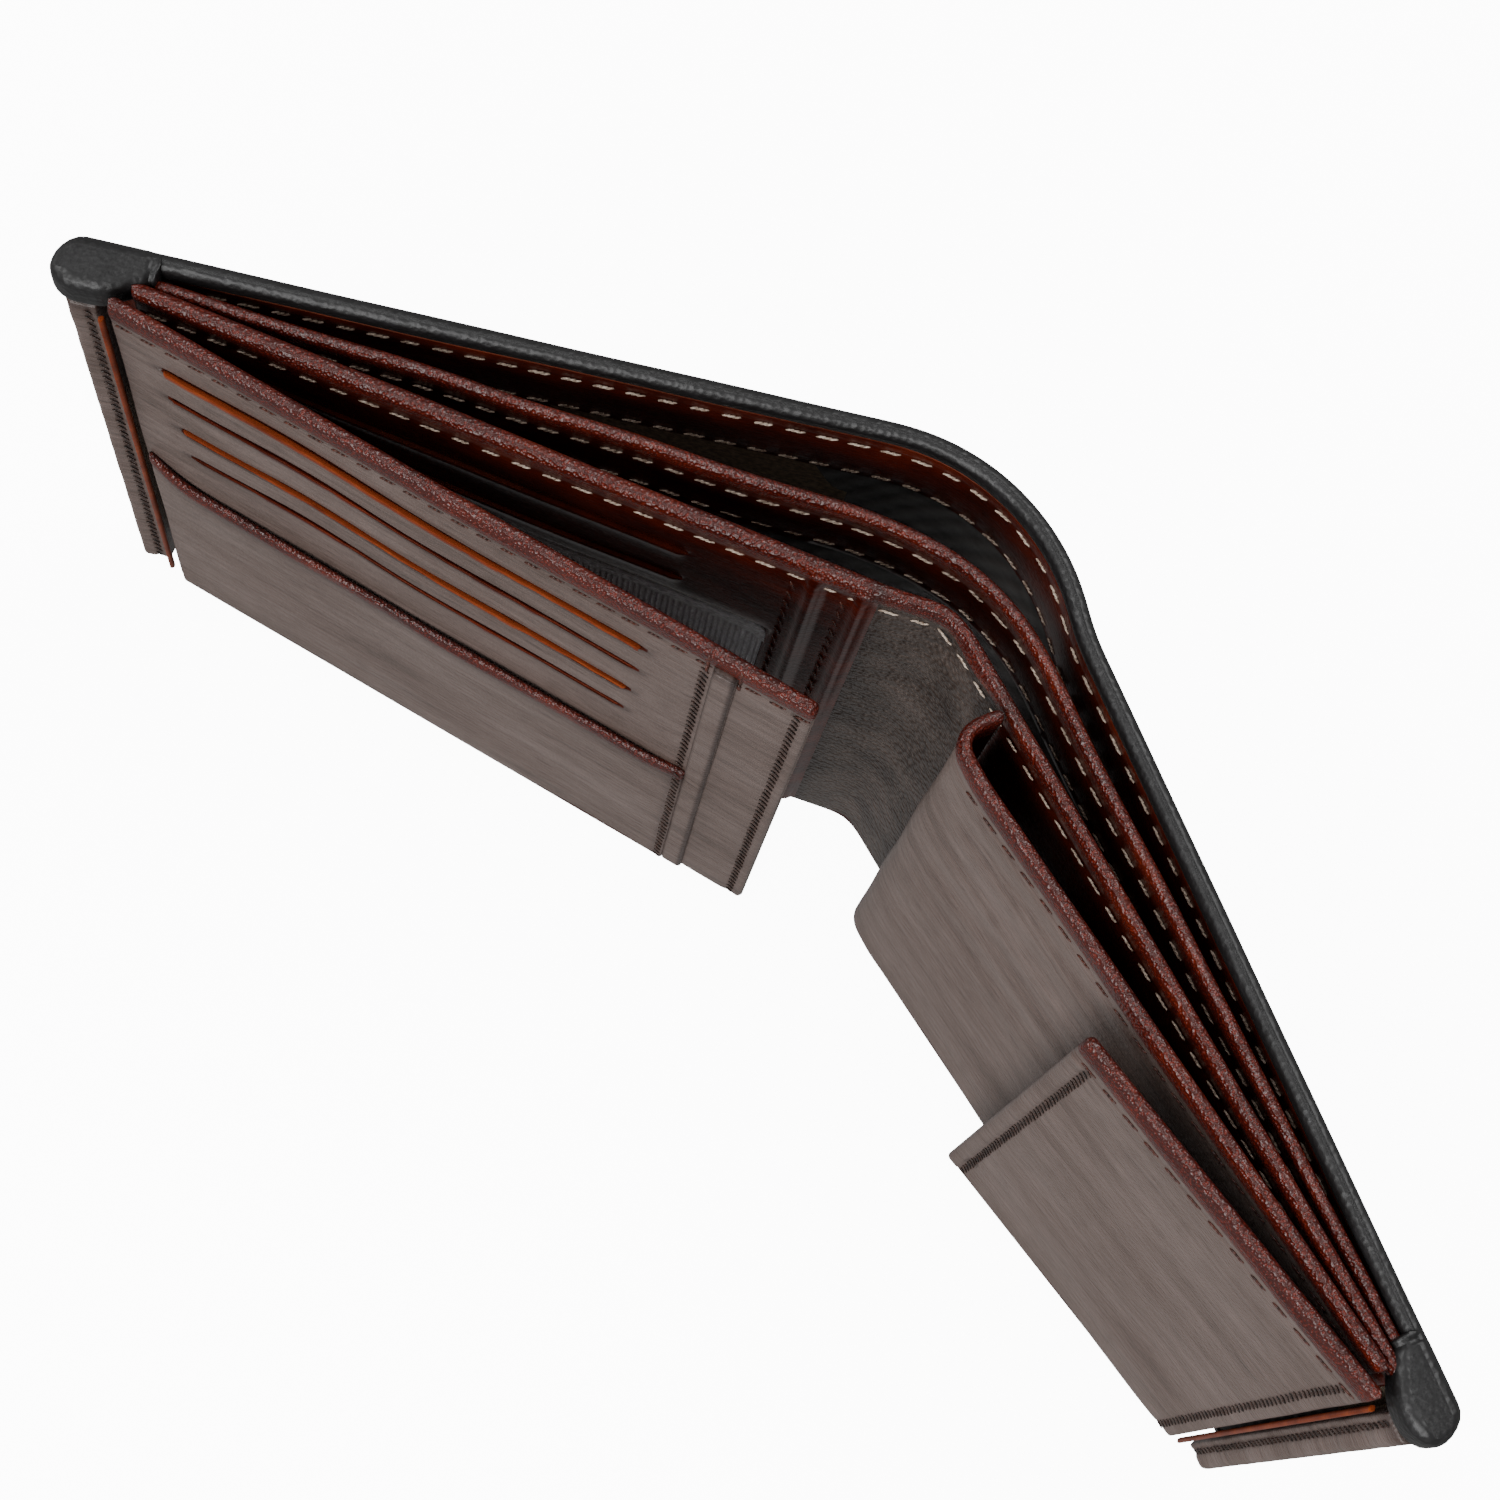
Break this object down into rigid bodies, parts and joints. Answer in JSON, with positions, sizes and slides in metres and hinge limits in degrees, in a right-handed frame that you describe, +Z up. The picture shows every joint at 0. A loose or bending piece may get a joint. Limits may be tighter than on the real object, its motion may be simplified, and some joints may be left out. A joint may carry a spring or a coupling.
{
  "type": "bifold wallet",
  "caption": "Leather bifold wallet, half open, with two note compartments, a hinged card flap with slits and a gusseted coin pocket behind a short flap.",
  "frame": {"origin": "middle of the spine's wall at its foot, on the surface the wallet stands on", "axes": "+Z up along the spine, +X across the opened wallet towards the coin pocket half, +Y out of the back of the spine"},
  "size_m": [0.2131, 0.0613, 0.09],
  "materials": {
    "cover_leather": "fine pebbled near-black leather, semi-matt",
    "face_leather": "waxed taupe leather with long grain streaks",
    "inner_leather": "glazed dark red-brown leather",
    "rolled_leather": "burnished red-brown rolled edge",
    "tab_leather": "orange-brown card tabs",
    "twill": "near-black diagonal twill",
    "mesh": "grey ribbed mesh",
    "board": "bonded fibre interlining"
  },
  "bodies": {
    "spine": {"cover_spine": "cover_leather", "lining_spine": "twill", "facing_spine": "inner_leather", "divider_centre": "twill", "divider_facing_centre": "rolled_leather", "centre_gusset": "face_leather", "inner_roll_centre": "rolled_leather"},
    "left_cover": {"cover_left": "cover_leather", "corner_cap_left": "cover_leather", "board_left": "board", "lining_left": "twill", "facing_left": "inner_leather", "end_binding_left": "face_leather", "floor_gusset_left": "twill"},
    "right_cover": {"cover_right": "cover_leather", "corner_cap_right": "cover_leather", "board_right": "board", "lining_right": "twill", "facing_right": "inner_leather", "end_binding_right": "face_leather", "floor_gusset_right": "twill"},
    "left_divider": {"divider_left": "twill", "divider_facing_left": "rolled_leather"},
    "right_divider": {"divider_right": "twill", "divider_facing_right": "rolled_leather"},
    "left_inner": {"inner_card_panel": "inner_leather", "inner_card_tabs": "inner_leather", "inner_backing": "twill", "window_mesh": "mesh", "window_frame": "inner_leather", "fold_strips": "inner_leather", "inner_roll_left": "rolled_leather"},
    "right_inner": {"inner_right_panel": "inner_leather", "inner_roll_right": "rolled_leather", "coin_side_gusset": "face_leather", "coin_floor": "twill"},
    "coin_pocket": {"coin_front": "face_leather", "coin_roll": "rolled_leather"},
    "flap_hinge": {"flap_hinge_strip": "rolled_leather"},
    "card_flap": {"flap_card_panel": "face_leather", "flap_card_tabs": "tab_leather", "flap_slip_pocket": "face_leather", "flap_backing": "inner_leather", "flap_seam_strip": "face_leather", "flap_free_panel": "face_leather", "flap_free_edge": "face_leather", "flap_roll": "rolled_leather"},
    "coin_flap_hinge": {"coin_flap_hinge_strip": "rolled_leather"},
    "coin_flap": {"coin_flap_front": "face_leather", "coin_flap_backing": "inner_leather", "coin_flap_free_edge": "face_leather", "coin_flap_roll": "rolled_leather"}
  },
  "joints": [
    {"name": "left_fold", "type": "hinge", "parent": "spine", "child": "left_cover", "pos_m": [-0.00616, -0.0018, 0], "axis": [0, 0, -1], "range_deg": [-62, 12.5], "deforming": ["divider_centre", "divider_facing_centre", "centre_gusset", "inner_roll_centre", "floor_gusset_left"]},
    {"name": "right_fold", "type": "hinge", "parent": "spine", "child": "right_cover", "pos_m": [0.01286, -0.00431, 0], "axis": [0, 0, 1], "range_deg": [-62, 12.5], "deforming": ["floor_gusset_right"]},
    {"name": "left_divider_fold", "type": "hinge", "parent": "spine", "child": "left_divider", "pos_m": [-0.01023, -0.00866, 0], "axis": [0, 0, -1], "range_deg": [-67.1, 13.53]},
    {"name": "left_inner_fold", "type": "hinge", "parent": "spine", "child": "left_inner", "pos_m": [-0.01284, -0.01341, 0], "axis": [0, 0, -1], "range_deg": [-70.8, 14.28]},
    {"name": "right_divider_fold", "type": "hinge", "parent": "spine", "child": "right_divider", "pos_m": [0.01465, -0.00743, 0], "axis": [0, 0, 1], "range_deg": [-64.2, 12.94]},
    {"name": "right_inner_fold", "type": "hinge", "parent": "spine", "child": "right_inner", "pos_m": [0.01672, -0.01127, 0], "axis": [0, 0, 1], "range_deg": [-66.9, 13.49]},
    {"name": "coin_pocket_fold", "type": "hinge", "parent": "right_inner", "child": "coin_pocket", "pos_m": [0.09927, -0.05613, 0], "axis": [0, 0, 1], "range_deg": [-3.6, 0.73], "deforming": ["coin_side_gusset", "coin_floor"]},
    {"name": "flap_lean", "type": "hinge", "parent": "left_cover", "child": "flap_hinge", "pos_m": [-0.09624, -0.05343, 0], "axis": [0, 0, -1], "range_deg": [-16.4, 3.31]},
    {"name": "card_flap_swing", "type": "hinge", "parent": "flap_hinge", "child": "card_flap", "pos_m": [-0.09581, -0.056, 0], "axis": [0, 0, -1], "range_deg": [0, 179]},
    {"name": "coin_flap_lean", "type": "hinge", "parent": "right_cover", "child": "coin_flap_hinge", "pos_m": [0.10154, -0.05842, 0], "axis": [0, 0, 1], "range_deg": [-13.3, 2.68]},
    {"name": "coin_flap_swing", "type": "hinge", "parent": "coin_flap_hinge", "child": "coin_flap", "pos_m": [0.10119, -0.05998, 0], "axis": [0, 0, 1], "range_deg": [0, 179]}
  ],
  "couplings": [
    {"joint": "right_fold", "follows": "left_fold", "ratio": 1},
    {"joint": "left_divider_fold", "follows": "left_fold", "ratio": 1.0823},
    {"joint": "left_inner_fold", "follows": "left_fold", "ratio": 1.1419},
    {"joint": "right_divider_fold", "follows": "left_fold", "ratio": 1.0355},
    {"joint": "right_inner_fold", "follows": "left_fold", "ratio": 1.079},
    {"joint": "coin_pocket_fold", "follows": "left_fold", "ratio": 0.05806},
    {"joint": "flap_lean", "follows": "left_fold", "ratio": 0.26452},
    {"joint": "coin_flap_lean", "follows": "left_fold", "ratio": 0.21452}
  ]
}
